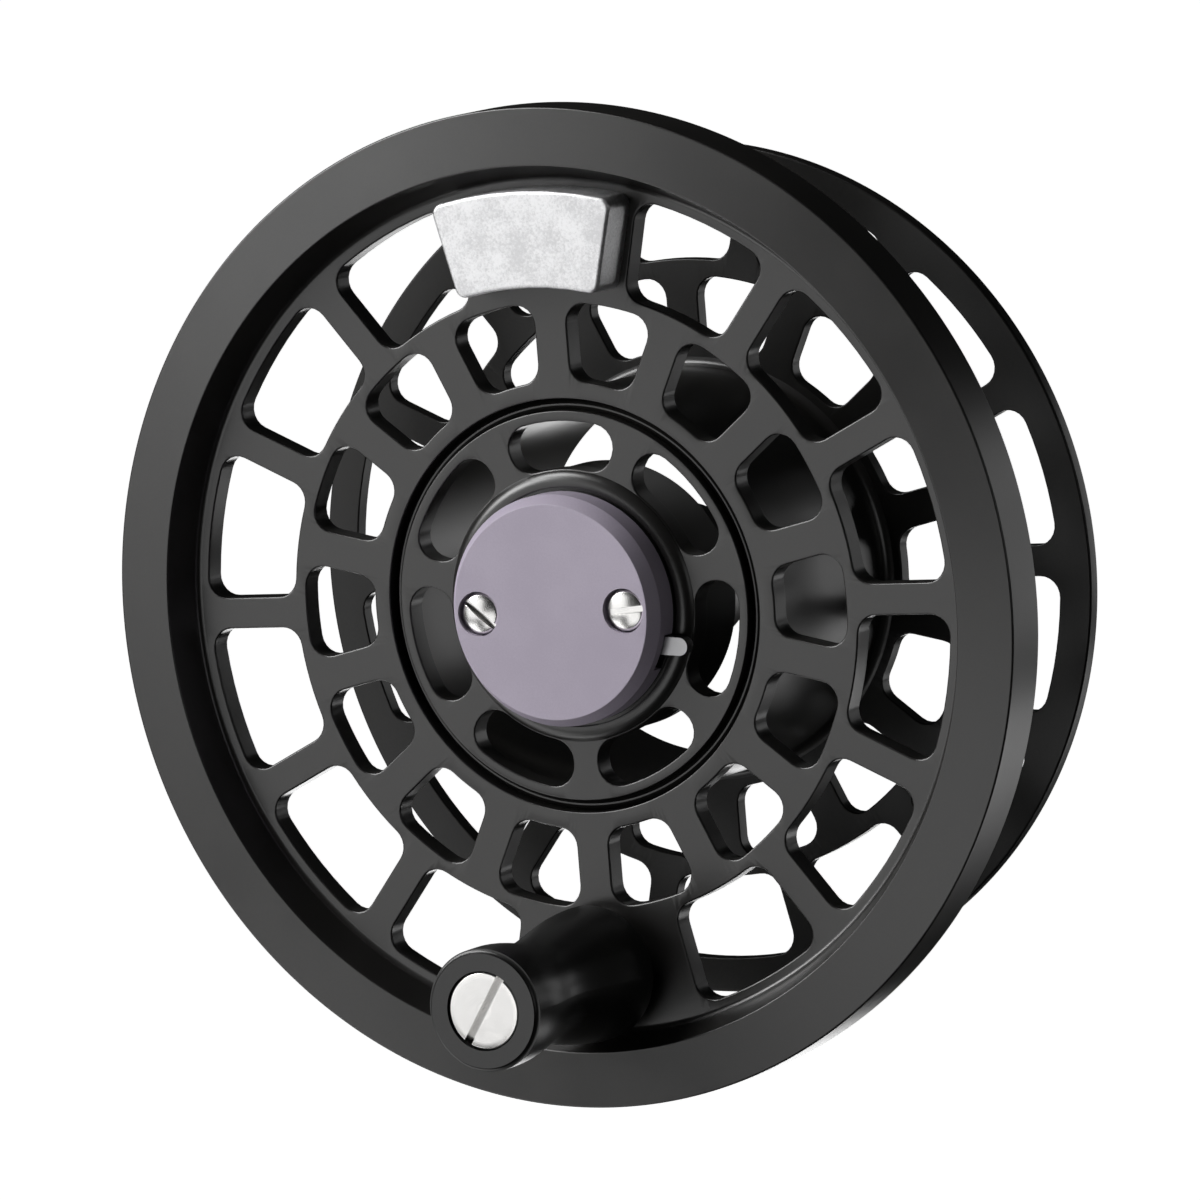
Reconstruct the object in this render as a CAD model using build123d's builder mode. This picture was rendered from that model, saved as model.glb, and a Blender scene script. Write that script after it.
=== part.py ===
from build123d import *
import os
from math import cos, radians, sin

# Spare spool of a fly reel, 3.5 inch rim, with its counterweight, winding knob and spring latch.
# Millimetres. The spindle axis is Y. The front, where the knob stands, faces -Y.
# Y = 0 is the line-side face of the front web. The counterweight is up (+Z), the knob down.

# --- Driving dimensions: front plate ---------------------------------------------------------
rim_radius = 44.5            # palming rim, outside
rim_depth = 5.1              # line-side face to the rim's outer front edge
lip_radius = 39.4            # inner lip of the rim's front face
lip_rise = 0.6               # the front face is a shallow cone that rises to the lip
rim_draft = 1.3              # the inner wall of the rim leans in by this much down to the web
rim_wall = 1.3               # walls round the channel behind the rim
rim_face_wall = 1.6          # metal left between that channel and the rim's front face
rim_foot_fillet = 0.6        # between the rim's inner wall and the web
web_thickness = 2.3
edge_break = 0.2             # small chamfer on turned edges

# --- Driving dimensions: windows -------------------------------------------------------------
window_count = 14            # outer and middle rings, on both flanges
outer_window = (28.1, 37.0)  # inner and outer arc of the front plate's outer ring
outer_spoke = 2.8
middle_window = (20.0, 27.0)
middle_spoke = 3.2
window_corner = 1.8
hub_window_count = 7
hub_window = (12.2, 16.45)
hub_spoke = 2.5
hub_window_corner = 2.0

# --- Driving dimensions: arbor and rear flange -----------------------------------------------
line_width = 22.75           # clear space for line between the two flanges
flange_radius = 38.7
flange_thickness = 1.55
flange_outer_window = (28.1, 35.6)
flange_middle_window = (20.0, 26.6)
arbor_radius = 18.45
arbor_bore = 17.0
arbor_crest = (17.76, 17.92) # flat top of the arbor's front end, bevelled on both sides
arbor_recess = 0.75          # crest below the web's face
arbor_bevel = (0.4, 0.7)     # fall from the crest to the hub disc and to the front plate
flange_seat = 0.6            # step at the arbor's rear end that the flange sits on
arbor_foot = 0.8             # fillet between arbor and rear flange

# --- Driving dimensions: hub -----------------------------------------------------------------
hub_seat = 0.35              # ledge inside the arbor that the hub disc is pressed against
boss_foot_radius = 12.1      # where the rounded boss meets the hub disc
boss_land_radius = 11.0      # its flat face
boss_height = 0.65           # boss face above the web's front face
boss_groove = (0.32, 0.45)   # width and depth of the groove round the cap's foot
cup_radius = 12.0
cup_wall = 1.3
cup_depth = 5.9              # from the line-side face of the web
hub_tube_radius = 6.5
hub_tube_length = 19.9

# --- Driving dimensions: spindle, bushings and one-way clutch --------------------------------
spindle_radius = 3.0         # nominal spindle of the reel frame
running_clearance = 0.03     # radial, between spindle and bushings
front_bushing_radius = 4.0
front_bushing_length = 7.6
front_bushing_sink = 0.2     # below the boss face
clutch_radius = 5.0
clutch_length = 10.0
clutch_wall = 0.75
clutch_lip = 0.5             # thickness of the shell's two inward lips
roller_count = 8
roller_radius = 0.6
roller_play = 0.02
cage_wall = 0.7
rear_bushing_length = 3.0
ring_thickness = 0.7         # internal retaining ring
ring_width = 1.0
ring_groove = 0.45           # how deep its groove is cut into the hub tube

# --- Driving dimensions: click ring ----------------------------------------------------------
click_width = 4.0
click_depth = 1.2            # the ring's front face behind the web's line-side face
click_tip_radius = 9.2
click_tooth_count = 36
click_scallop = 0.55

# --- Driving dimensions: latch and cap -------------------------------------------------------
cap_radius = 10.33
cap_height = 3.65            # cap above the boss
cap_chamfer = (1.25, 0.76)   # along the axis, across
cap_screw_offset = 7.25      # screws left and right of the spindle
cap_screw_head_radius = 1.85
cap_screw_head_height = 1.25
cap_screw_head_dome = 0.55
cap_screw_counterbore = 2.0
cap_screw_counterbore_depth = 1.35
cap_screw_shoulder = 1.25
cap_screw_thread = 1.0
cap_screw_grip = 2.75        # thread length in the boss
cap_slot = 0.55              # screwdriver slot
cap_slot_depth = 0.6
tip_room = 2.45              # the spindle's end reaches this far into the cap
latch_thickness = 1.2
latch_eye_radius = 2.2
latch_ring_radius = 4.2
latch_window = 3.1           # lever's window round the spindle
latch_engage = 0.55          # how far the window is off centre when latched
latch_arm = 1.6              # width of the arm
latch_tip = (11.3, -3.55)    # X, Z of the round tip
latch_arm_root = (1.4, -2.85)
latch_travel = 4.5           # degrees, to full release
slack = 0.15                 # room round the lever and spring
spring_x = 4.6
spring_radius = 0.7
spring_wire = 0.13
spring_length = 4.0
spring_turns = 5

# --- Driving dimensions: counterweight -------------------------------------------------------
weight_band = (28.6, 37.3)
weight_half_angle = 14.1
weight_thickness = 3.9
weight_corner = 1.0
weight_round = 0.45
weight_screw_spread = 4.6    # screws left and right of the centre line
weight_screw_circle = 33.0
weight_screw_radius = 1.25
weight_screw_head = 2.4
weight_screw_reach = 4.8     # from the web's line-side face
weight_screw_play = 0.1

# --- Driving dimensions: winding knob --------------------------------------------------------
knob_offset = 32.5           # below the spindle axis
knob_tip_height = 22.3       # knob's end above the web
knob_gap = 0.9               # under the knob's foot
knob_tip_radius = 5.45
knob_waist_radius = 4.75
knob_foot_radius = 6.05
knob_tip_edge = 0.4
knob_foot_edge = 1.0
knob_tip_land = 1.9          # straight stretch behind the tip's round edge
knob_waist_place = 7.8       # from the knob's end
post_radius = 2.6
post_flange = (3.8, 0.8)     # radius and thickness of the post's flange
post_spigot = 2.0
washer_thickness = 0.4
bushing_wall = 0.65
bushing_length = 5.0
bushing_play = 0.05
knob_end_play = 0.1
knob_screw_head = (3.38, 1.1)
knob_screw_sink = 0.15       # head's face below the knob's end
knob_screw_thread = 1.5
knob_screw_length = 9.0
knob_head_play = 0.15
washer_play = 0.2            # radial, between washer and knob
knob_foot_land = 0.45        # flat left between the washer's recess and the foot's round edge
knob_slot = 0.85
knob_slot_depth = 0.7
knob_slot_angle = 57         # as the screw stopped when it was last tightened

# --- Stations along the spindle axis ---------------------------------------------------------
web_front = -web_thickness
boss_front = web_front - boss_height
cap_front = boss_front - cap_height
bushing_front = boss_front + front_bushing_sink
flange_front = line_width
flange_rear = flange_front + flange_thickness
clutch_front = bushing_front + front_bushing_length
rear_bushing_front = clutch_front + clutch_length
ring_front = rear_bushing_front + rear_bushing_length
bore_radius = spindle_radius + running_clearance
roller_circle = bore_radius + roller_radius
knob_end = web_front - knob_tip_height
knob_foot = web_front - knob_gap
post_seat = web_front - post_flange[1]
washer_front = post_seat - washer_thickness
knob_seat = washer_front - knob_end_play
knob_head_rear = knob_end + knob_screw_sink + knob_screw_head[1]
bushing_front_face = knob_head_rear + knob_end_play
post_end = knob_head_rear
lever_rear = boss_front - slack
lever_front = lever_rear - latch_thickness


def facing(station):
    """Plane square to the spindle, seen from the front: local X is +X, local Y is +Z."""
    return Plane(origin=(0, station, 0), x_dir=(1, 0, 0), z_dir=(0, -1, 0))


def outline(points):
    """Closed face in the XY plane from (radius, station) points, to be revolved."""
    with BuildSketch(Plane.XY) as section:
        with BuildLine():
            Polyline(*points, close=True)
        make_face()
    return section.sketch


def window_ring(band, count, spoke, corner, first_window):
    """Windows between two arcs, parted by parallel-sided spokes, with rounded corners."""
    inner, outer = band
    with BuildSketch(facing(0)) as ring:
        Circle(outer)
        Circle(inner, mode=Mode.SUBTRACT)
        with PolarLocations((inner + outer) / 2, count, first_window + 180 / count):
            Rectangle(2 * (outer - inner), spoke, mode=Mode.SUBTRACT)
        fillet(ring.vertices(), corner)
    return ring.sketch.faces()


def cut_windows(windows, front, thickness):
    """Cut window faces, drawn at station 0, through a plate in the part being built."""
    for window in windows:
        extrude(window.moved(Location((0, front + thickness, 0))), amount=thickness, mode=Mode.SUBTRACT)


def finish(builder, name):
    """Label a finished piece and write it under that name."""
    builder.part.label = name
    export_step(builder.part, f"parts/{name}.step")


def off_centre_line(windows):
    """Leave out the two windows that the counterweight and the knob's post take."""
    return [window for window in windows if abs(window.center().X) > outer_spoke]


os.makedirs("parts", exist_ok=True)

# --- Front plate: palming rim and windowed web in one ----------------------------------------
lip_front = -rim_depth - lip_rise
rim_foot = lip_radius - rim_draft
channel_inner = lip_radius + rim_wall
channel_outer = rim_radius - rim_wall
channel_floor = -rim_depth + rim_face_wall
with BuildPart() as face_plate:
    with BuildSketch(Plane.XY) as section:
        add(outline([
            (arbor_radius, 0),
            (arbor_radius, web_front),
            (rim_foot, web_front),
            (lip_radius - edge_break / 2, lip_front + edge_break),
            (lip_radius + edge_break, lip_front),
            (rim_radius - edge_break, -rim_depth),
            (rim_radius, -rim_depth + edge_break),
            (rim_radius, -edge_break),
            (rim_radius - edge_break, 0),
            (channel_outer, 0),
            (channel_outer, channel_floor),
            (channel_inner, channel_floor),
            (channel_inner, 0),
        ]))
        fillet(section.vertices().sort_by_distance((rim_foot, web_front))[0], rim_foot_fillet)
    revolve(axis=Axis.Y)
    cut_windows(
        off_centre_line(window_ring(outer_window, window_count, outer_spoke, window_corner, 90)),
        web_front, web_thickness,
    )
    cut_windows(
        window_ring(middle_window, window_count, middle_spoke, window_corner, 90 + 180 / window_count),
        web_front, web_thickness,
    )
    with BuildSketch(facing(0)):
        with Locations((0, -knob_offset)):
            Circle(post_spigot)
    extrude(amount=web_thickness, mode=Mode.SUBTRACT)
    screw_seats = [
        Plane(origin=(weight_screw_spread * side, 0, weight_screw_circle), z_dir=(0, 1, 0))
        for side in (-1, 1)
    ]
    with Locations(*screw_seats):
        CounterSinkHole(
            weight_screw_radius + weight_screw_play, weight_screw_head + weight_screw_play,
            depth=web_thickness, counter_sink_angle=90,
        )
finish(face_plate, "face_plate")

# --- Arbor: thin drum pressed into the front plate, stepped for the rear flange --------------
crest_front = web_front + arbor_recess
seat_radius = arbor_bore + hub_seat
flange_bore = arbor_radius - flange_seat
with BuildPart() as arbor:
    with BuildSketch(Plane.XY):
        with BuildLine():
            Polyline(
                (arbor_radius, flange_front - arbor_foot),
                (arbor_radius, crest_front + arbor_bevel[1]),
                (arbor_crest[1], crest_front),
                (arbor_crest[0], crest_front),
                (seat_radius, crest_front + arbor_bevel[0]),
                (seat_radius, 0),
                (arbor_bore, 0),
                (arbor_bore, flange_rear),
                (flange_bore, flange_rear),
                (flange_bore, flange_front),
                (arbor_radius + arbor_foot, flange_front),
            )
            RadiusArc(
                (arbor_radius + arbor_foot, flange_front),
                (arbor_radius, flange_front - arbor_foot),
                arbor_foot,
            )
        make_face()
    revolve(axis=Axis.Y)
finish(arbor, "arbor")

# --- Rear flange -----------------------------------------------------------------------------
with BuildPart() as rear_flange:
    revolve(
        outline([
            (flange_bore, flange_front),
            (flange_radius - edge_break, flange_front),
            (flange_radius, flange_front + edge_break),
            (flange_radius, flange_rear - edge_break),
            (flange_radius - edge_break, flange_rear),
            (flange_bore, flange_rear),
        ]),
        axis=Axis.Y,
    )
    cut_windows(
        window_ring(flange_outer_window, window_count, outer_spoke, window_corner, 90),
        flange_front, flange_thickness,
    )
    cut_windows(
        window_ring(flange_middle_window, window_count, middle_spoke, window_corner,
                    90 + 180 / window_count),
        flange_front, flange_thickness,
    )
finish(rear_flange, "rear_flange")


# --- Latch lever outline, shared by the lever and the recess in the cap ----------------------
def lever_outline(margin=0.0, swing=0.0, window=True):
    """Lever seen from the front, grown by a margin and turned about its pivot by a swing."""
    with BuildSketch(facing(0)) as lever:
        with Locations((-cap_screw_offset, 0)):
            Circle(latch_eye_radius + margin)
        with Locations((0, latch_engage / 2)):
            Circle(latch_ring_radius + margin)
        with BuildLine():
            Line((-cap_screw_offset, 0), (0, latch_engage / 2))
        trace(line_width=2 * (latch_eye_radius + margin) * 0.8)
        with BuildLine():
            Line(latch_arm_root, latch_tip)
        trace(line_width=latch_arm + 2 * margin)
        with Locations(latch_tip):
            Circle(latch_arm / 2 + margin)
        if window:
            with Locations((0, latch_engage)):
                Circle(latch_window, mode=Mode.SUBTRACT)
            with Locations((-cap_screw_offset, 0)):
                Circle(cap_screw_shoulder + bushing_play, mode=Mode.SUBTRACT)
    pivot = Axis((-cap_screw_offset, 0, 0), (0, 1, 0))
    return lever.sketch.rotate(pivot, swing)


def latch_space():
    """Room for the lever over its whole swing and for its spring."""
    room = [lever_outline(slack, swing, False) for swing in (0, latch_travel / 2, latch_travel)]
    with BuildSketch(facing(0)) as space:
        add(room)
        with Locations((spring_x, spring_foot + spring_length / 2)):
            Rectangle(2 * (spring_radius + slack), spring_length)
    return space.sketch


arm_slope = (latch_tip[1] - latch_arm_root[1]) / (latch_tip[0] - latch_arm_root[0])
arm_under = latch_arm_root[1] + arm_slope * (spring_x - latch_arm_root[0]) - latch_arm / 2
spring_foot = arm_under - slack / 3 - spring_length

# --- Hub: windowed disc, boss, cup and tube turned in one ------------------------------------
cup_bore = cup_radius - cup_wall
with BuildPart() as hub:
    with BuildSketch(Plane.XY):
        with BuildLine():
            Polyline(
                (boss_land_radius, boss_front),
                (cap_radius + boss_groove[0], boss_front),
                (cap_radius + boss_groove[0], boss_front + boss_groove[1]),
                (cap_radius, boss_front + boss_groove[1]),
                (cap_radius, boss_front),
                (0, boss_front),
                (0, hub_tube_length),
                (hub_tube_radius - edge_break, hub_tube_length),
                (hub_tube_radius, hub_tube_length - edge_break),
                (hub_tube_radius, 0),
                (cup_bore, 0),
                (cup_bore, cup_depth),
                (cup_radius, cup_depth),
                (cup_radius, 0),
                (seat_radius, 0),
                (seat_radius, web_front + edge_break),
                (seat_radius - edge_break, web_front),
                (boss_foot_radius, web_front),
            )
            TangentArc(
                (boss_land_radius, boss_front), (boss_foot_radius, web_front), tangent=(1, 0),
            )
        make_face()
    revolve(axis=Axis.Y)
    cut_windows(
        window_ring(hub_window, hub_window_count, hub_spoke, hub_window_corner, 90),
        web_front, web_thickness,
    )
    with BuildSketch(facing(clutch_front)):
        Circle(front_bushing_radius)
    extrude(amount=clutch_front - boss_front, mode=Mode.SUBTRACT)
    with BuildSketch(facing(hub_tube_length)):
        Circle(clutch_radius)
    extrude(amount=hub_tube_length - clutch_front, mode=Mode.SUBTRACT)
    with BuildSketch(facing(ring_front + ring_thickness)):
        Circle(clutch_radius + ring_groove)
    extrude(amount=ring_thickness, mode=Mode.SUBTRACT)
    with BuildSketch(facing(boss_front + cap_screw_grip)):
        with Locations((-cap_screw_offset, 0), (cap_screw_offset, 0)):
            Circle(cap_screw_thread)
    extrude(amount=cap_screw_grip, mode=Mode.SUBTRACT)
finish(hub, "hub")

lever_room = latch_thickness + 2 * slack

# --- Latch cap -------------------------------------------------------------------------------
with BuildPart() as latch_cap:
    revolve(
        outline([
            (0, boss_front),
            (cap_radius, boss_front),
            (cap_radius, cap_front + cap_chamfer[0]),
            (cap_radius - cap_chamfer[1], cap_front),
            (0, cap_front),
        ]),
        axis=Axis.Y,
    )
    extrude(latch_space().moved(Location((0, boss_front, 0))), amount=lever_room, mode=Mode.SUBTRACT)
    with BuildSketch(facing(boss_front)):
        Circle(spindle_radius + 2 * slack)
    extrude(amount=tip_room, mode=Mode.SUBTRACT)
    screw_seats = [
        Plane(origin=(cap_screw_offset * side, cap_front, 0), z_dir=(0, -1, 0)) for side in (-1, 1)
    ]
    with Locations(*screw_seats):
        CounterBoreHole(cap_screw_shoulder, cap_screw_counterbore, cap_screw_counterbore_depth)
finish(latch_cap, "latch_cap")

# --- Cap screws: domed slotted heads, a shoulder that the lever turns on ---------------------
screw_seat = cap_front + cap_screw_counterbore_depth
screw_top = screw_seat - cap_screw_head_height
slot_angles = {-1: -42, 1: 5}
with BuildPart() as cap_screws:
    for side in (-1, 1):
        centre = (cap_screw_offset * side, 0)
        with BuildSketch(facing(screw_seat)):
            with Locations(centre):
                Circle(cap_screw_head_radius)
        extrude(amount=cap_screw_head_height)
        with BuildSketch(facing(boss_front)):
            with Locations(centre):
                Circle(cap_screw_shoulder)
        extrude(amount=boss_front - screw_seat)
        with BuildSketch(facing(boss_front + cap_screw_grip)):
            with Locations(centre):
                Circle(cap_screw_thread)
        extrude(amount=cap_screw_grip + edge_break)
    rims = cap_screws.faces().filter_by(Axis.Y).sort_by(Axis.Y)[:2].edges()
    fillet(rims, cap_screw_head_dome)
    for side in (-1, 1):
        with BuildSketch(facing(screw_top + cap_slot_depth)):
            with Locations(Location((cap_screw_offset * side, 0, 0), (0, 0, slot_angles[side]))):
                Rectangle(3 * cap_screw_head_radius, cap_slot)
        extrude(amount=cap_slot_depth, mode=Mode.SUBTRACT)
finish(cap_screws, "cap_screws")

# --- Latch lever and its spring --------------------------------------------------------------
with BuildPart() as latch_lever:
    extrude(lever_outline().moved(Location((0, lever_rear, 0))), amount=latch_thickness)
finish(latch_lever, "latch_lever")

spring_station = (lever_rear + lever_front) / 2
with BuildPart() as latch_spring:
    with BuildLine() as coil:
        Helix(
            pitch=(spring_length - 2 * spring_wire) / spring_turns,
            height=spring_length - 2 * spring_wire,
            radius=spring_radius - spring_wire,
            center=(spring_x, spring_station, spring_foot + spring_wire),
        )
    with BuildSketch(Plane(origin=coil.line @ 0, z_dir=coil.line % 0)):
        Circle(spring_wire)
    sweep(is_frenet=True)
finish(latch_spring, "latch_spring")


# --- Bushings, one-way clutch and retaining ring ---------------------------------------------
def tube(outer, inner, front, length):
    """Section of a plain ring round the spindle, to be revolved."""
    return outline([(inner, front), (outer, front), (outer, front + length), (inner, front + length)])


with BuildPart() as front_bushing:
    revolve(tube(front_bushing_radius, bore_radius, bushing_front, front_bushing_length), axis=Axis.Y)
finish(front_bushing, "front_bushing")

with BuildPart() as rear_bushing:
    revolve(tube(clutch_radius, bore_radius, rear_bushing_front, rear_bushing_length), axis=Axis.Y)
finish(rear_bushing, "rear_bushing")

track_radius = clutch_radius - clutch_wall
clutch_rear = clutch_front + clutch_length
lip_bore = bore_radius + roller_radius
with BuildPart() as clutch_shell:
    revolve(
        outline([
            (lip_bore, clutch_front),
            (clutch_radius, clutch_front),
            (clutch_radius, clutch_rear),
            (lip_bore, clutch_rear),
            (lip_bore, clutch_rear - clutch_lip),
            (track_radius, clutch_rear - clutch_lip),
            (track_radius, clutch_front + clutch_lip),
            (lip_bore, clutch_front + clutch_lip),
        ]),
        axis=Axis.Y,
    )
finish(clutch_shell, "clutch_shell")

cage_front = clutch_front + clutch_lip
cage_length = clutch_length - 2 * clutch_lip
cage_outer = track_radius
cage_inner = cage_outer - cage_wall
roller_length = cage_length - 4 * roller_radius
with BuildPart() as clutch_cage:
    revolve(tube(cage_outer, cage_inner, cage_front, cage_length), axis=Axis.Y)
    with BuildSketch(facing(cage_front + (cage_length + roller_length) / 2 + roller_play)):
        with PolarLocations(roller_circle, roller_count):
            Rectangle(2 * roller_radius * 1.6, 2 * (roller_radius + roller_play))
    extrude(amount=roller_length + 2 * roller_play, mode=Mode.SUBTRACT)
finish(clutch_cage, "clutch_cage")

with BuildPart() as clutch_rollers:
    with BuildSketch(facing(cage_front + (cage_length + roller_length) / 2)):
        with PolarLocations(roller_circle + roller_play / 2, roller_count):
            Circle(roller_radius)
    extrude(amount=roller_length)
finish(clutch_rollers, "clutch_rollers")

with BuildPart() as retaining_ring:
    with BuildSketch(facing(ring_front + ring_thickness)):
        Circle(clutch_radius + ring_groove)
        Circle(clutch_radius + ring_groove - ring_width, mode=Mode.SUBTRACT)
        with Locations((0, -clutch_radius)):
            Rectangle(1.6 * ring_width, 3 * ring_width, mode=Mode.SUBTRACT)
    extrude(amount=ring_thickness)
finish(retaining_ring, "retaining_ring")

# --- Click ring: scalloped inside, pressed into the hub's cup --------------------------------
with BuildPart() as click_ring:
    with BuildSketch(facing(click_depth + click_width)):
        Circle(cup_bore)
        Circle(click_tip_radius, mode=Mode.SUBTRACT)
        with PolarLocations(click_tip_radius, click_tooth_count):
            Circle(click_scallop, mode=Mode.SUBTRACT)
    extrude(amount=click_width)
finish(click_ring, "click_ring")


# --- Counterweight and its two screws --------------------------------------------------------
def sector(band, half_angle):
    """Block between two arcs and two radial sides, symmetric about +Z."""
    inner, outer = band
    left = radians(90 + half_angle)
    right = radians(90 - half_angle)
    with BuildSketch(facing(0)) as block:
        with BuildLine():
            ThreePointArc(
                (outer * cos(left), outer * sin(left)), (0, outer), (outer * cos(right), outer * sin(right)))
            Line((outer * cos(right), outer * sin(right)), (inner * cos(right), inner * sin(right)))
            ThreePointArc(
                (inner * cos(right), inner * sin(right)), (0, inner), (inner * cos(left), inner * sin(left)))
            Line((inner * cos(left), inner * sin(left)), (outer * cos(left), outer * sin(left)))
        make_face()
        fillet(block.vertices(), weight_corner)
    return block.sketch


with BuildPart() as counterweight:
    extrude(sector(weight_band, weight_half_angle).moved(Location((0, web_front, 0))),
            amount=weight_thickness)
    fillet(counterweight.faces().sort_by(Axis.Y)[0].edges(), weight_round)
    with BuildSketch(facing(web_front)):
        with Locations((-weight_screw_spread, weight_screw_circle), (weight_screw_spread, weight_screw_circle)):
            Circle(weight_screw_radius)
    extrude(amount=weight_screw_reach - web_thickness, mode=Mode.SUBTRACT)
finish(counterweight, "counterweight")

with BuildPart() as counterweight_screws:
    for side in (-1, 1):
        with BuildSketch(facing(0)) as head:
            with Locations((weight_screw_spread * side, weight_screw_circle)):
                Circle(weight_screw_head)
        extrude(amount=weight_screw_head - weight_screw_radius, taper=45)
        with BuildSketch(facing(0)):
            with Locations((weight_screw_spread * side, weight_screw_circle)):
                Circle(weight_screw_radius)
        extrude(amount=weight_screw_reach)
        with BuildSketch(facing(0)):
            with Locations(Location((weight_screw_spread * side, weight_screw_circle, 0), (0, 0, 30 * side))):
                Rectangle(3 * weight_screw_head, cap_slot)
        extrude(amount=cap_slot_depth, mode=Mode.SUBTRACT)
finish(counterweight_screws, "counterweight_screws")


# --- Winding knob, its post, screw, washer and bushings --------------------------------------
def knob_outline(points):
    """Closed face from (radius, station) points about the knob's own axis."""
    with BuildSketch(Plane(origin=(0, 0, -knob_offset))) as section:
        with BuildLine():
            Polyline(*points, close=True)
        make_face()
    return section.sketch


knob_axis = Axis((0, 0, -knob_offset), (0, 1, 0))
bushing_radius = post_radius + bushing_play + bushing_wall
head_room = knob_screw_head[0] + knob_head_play
washer_room = knob_foot_radius - knob_foot_edge - knob_foot_land
washer_radius = washer_room - washer_play
foot_top = (knob_foot_radius, knob_foot - knob_foot_edge)
waist = (knob_waist_radius, knob_end + knob_waist_place)
tip_top = (knob_tip_radius, knob_end + knob_tip_edge)
tip_land = (knob_tip_radius, knob_end + knob_tip_edge + knob_tip_land)
with BuildPart() as knob:
    with BuildSketch(Plane(origin=(0, 0, -knob_offset))):
        with BuildLine():
            Line((bushing_radius, knob_seat), (washer_room, knob_seat))
            Line((washer_room, knob_seat), (washer_room, knob_foot))
            Line((washer_room, knob_foot), (knob_foot_radius - knob_foot_edge, knob_foot))
            RadiusArc((knob_foot_radius - knob_foot_edge, knob_foot), foot_top, -knob_foot_edge)
            Spline(foot_top, waist, tip_land, tangents=[(0, -1), (0, -1)])
            Line(tip_land, tip_top)
            RadiusArc(tip_top, (knob_tip_radius - knob_tip_edge, knob_end), -knob_tip_edge)
            Line((knob_tip_radius - knob_tip_edge, knob_end), (head_room, knob_end))
            Line((head_room, knob_end), (head_room, bushing_front_face))
            Line((head_room, bushing_front_face), (bushing_radius, bushing_front_face))
            Line((bushing_radius, bushing_front_face), (bushing_radius, knob_seat))
        make_face()
    revolve(axis=knob_axis)
finish(knob, "knob")

with BuildPart() as knob_bushings:
    for front in (bushing_front_face, knob_seat - bushing_length):
        inner = post_radius + bushing_play
        revolve(
            knob_outline([
                (inner, front), (bushing_radius, front),
                (bushing_radius, front + bushing_length), (inner, front + bushing_length),
            ]),
            axis=knob_axis,
        )
finish(knob_bushings, "knob_bushings")

with BuildPart() as knob_washer:
    inner = post_radius + bushing_play
    revolve(
        knob_outline([
            (inner, washer_front), (washer_radius, washer_front),
            (washer_radius, post_seat), (inner, post_seat),
        ]),
        axis=knob_axis,
    )
finish(knob_washer, "knob_washer")

with BuildPart() as handle_post:
    revolve(
        knob_outline([
            (0, 0), (post_spigot, 0), (post_spigot, web_front), (post_flange[0], web_front),
            (post_flange[0], post_seat), (post_radius, post_seat), (post_radius, post_end), (0, post_end),
        ]),
        axis=knob_axis,
    )
    with BuildSketch(facing(post_end + knob_screw_length)):
        with Locations((0, -knob_offset)):
            Circle(knob_screw_thread)
    extrude(amount=knob_screw_length, mode=Mode.SUBTRACT)
finish(handle_post, "handle_post")

with BuildPart() as handle_screw:
    head_front = knob_head_rear - knob_screw_head[1]
    revolve(
        knob_outline([
            (0, head_front), (knob_screw_head[0] - edge_break, head_front),
            (knob_screw_head[0], head_front + edge_break), (knob_screw_head[0], knob_head_rear),
            (knob_screw_thread, knob_head_rear), (knob_screw_thread, knob_head_rear + knob_screw_length),
            (0, knob_head_rear + knob_screw_length),
        ]),
        axis=knob_axis,
    )
    with BuildSketch(facing(head_front + knob_slot_depth)):
        with Locations(Location((0, -knob_offset, 0), (0, 0, knob_slot_angle))):
            Rectangle(3 * knob_screw_head[0], knob_slot)
    extrude(amount=knob_slot_depth, mode=Mode.SUBTRACT)
finish(handle_screw, "handle_screw")
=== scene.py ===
"""Fly reel spool: finished surfaces and fine shapes around the fixed frame."""
import logging
import math
from dataclasses import dataclass
from enum import Enum
from typing import Any, Iterable, Sequence

import bmesh
import bpy
from mathutils import Matrix, Vector


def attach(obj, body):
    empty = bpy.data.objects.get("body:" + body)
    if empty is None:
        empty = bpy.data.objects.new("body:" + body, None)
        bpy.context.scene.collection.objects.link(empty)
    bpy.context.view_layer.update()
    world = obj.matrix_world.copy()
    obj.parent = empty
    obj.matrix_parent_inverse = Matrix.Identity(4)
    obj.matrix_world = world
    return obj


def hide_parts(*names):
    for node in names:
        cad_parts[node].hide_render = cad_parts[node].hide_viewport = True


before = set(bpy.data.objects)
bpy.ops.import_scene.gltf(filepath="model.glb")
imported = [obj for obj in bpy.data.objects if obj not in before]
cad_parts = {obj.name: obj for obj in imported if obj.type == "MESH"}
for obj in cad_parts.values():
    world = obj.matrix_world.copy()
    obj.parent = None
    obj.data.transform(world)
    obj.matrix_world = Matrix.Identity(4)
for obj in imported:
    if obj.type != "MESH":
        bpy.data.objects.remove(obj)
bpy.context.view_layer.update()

MM = 0.001
OVERRUN = 1.0  # how far a cutter runs past a face, in mm
CREASE = math.radians(38)  # faces that meet at more than this have an edge between them
LOG = logging.getLogger("spool")

Point = tuple[float, float]
Colour = tuple[float, float, float]


def turned(x: float, y: float, angle: float) -> Point:
    """Turn a point about the origin.

    Args:
        x: Its first place.
        y: Its second place.
        angle: Turn in radians, from the first axis to the second.

    Returns:
        The turned point.
    """
    c, s = math.cos(angle), math.sin(angle)
    return (x * c - y * s, x * s + y * c)


def heading(azimuth: float, elevation: float) -> Vector:
    """Direction from the spool.

    Args:
        azimuth: Degrees from the front, to the right.
        elevation: Degrees above the level.

    Returns:
        A vector of length 1.
    """
    a, e = math.radians(azimuth), math.radians(elevation)
    return Vector((math.sin(a) * math.cos(e), -math.cos(a) * math.cos(e), math.sin(e)))


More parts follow.
